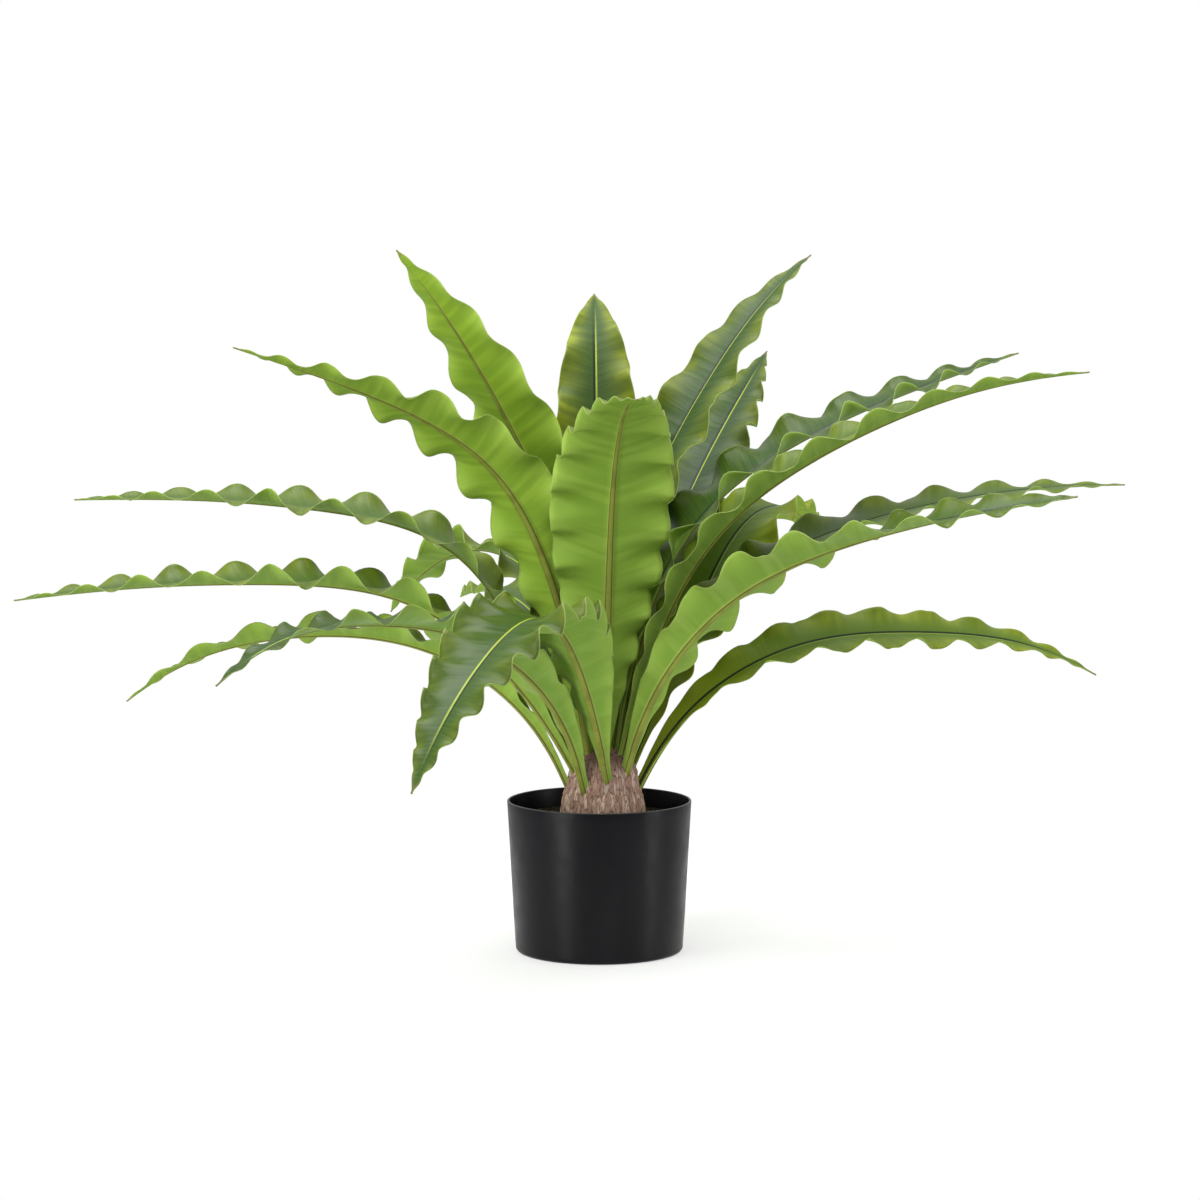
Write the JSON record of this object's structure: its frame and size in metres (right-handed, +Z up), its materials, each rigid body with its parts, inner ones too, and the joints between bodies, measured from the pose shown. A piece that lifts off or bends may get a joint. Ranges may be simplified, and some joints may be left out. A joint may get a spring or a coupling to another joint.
{
  "type": "potted fern",
  "caption": "Bird's nest fern with long waved strap-shaped fronds arching from a short bark-covered stump, in a plain round tapered plant pot.",
  "frame": {"origin": "centre of the pot's flat base, in the plane the pot stands on", "axes": "+Z up along the pot's axis, -Y towards the side the picture shows, +X to the right in the picture"},
  "size_m": [0.9169, 0.7906, 0.5901],
  "materials": {
    "pot": "satin black moulded plastic",
    "potting_mix": "dark crumbly potting mix",
    "stump": "flaky tan and brown bark",
    "frond": "glossy green upper face, paler matt underside"
  },
  "bodies": {
    "root": {"pot": "pot", "potting_mix": "potting_mix", "stump": "stump", "frond_01": "frond", "frond_02": "frond", "frond_03": "frond", "frond_04": "frond", "frond_05": "frond", "frond_06": "frond", "frond_07": "frond", "frond_08": "frond", "frond_09": "frond", "frond_10": "frond", "frond_11": "frond", "frond_12": "frond", "frond_13": "frond", "frond_14": "frond", "frond_15": "frond", "frond_16": "frond", "frond_17": "frond", "frond_18": "frond", "frond_19": "frond", "frond_20": "frond"}
  },
  "joints": []
}
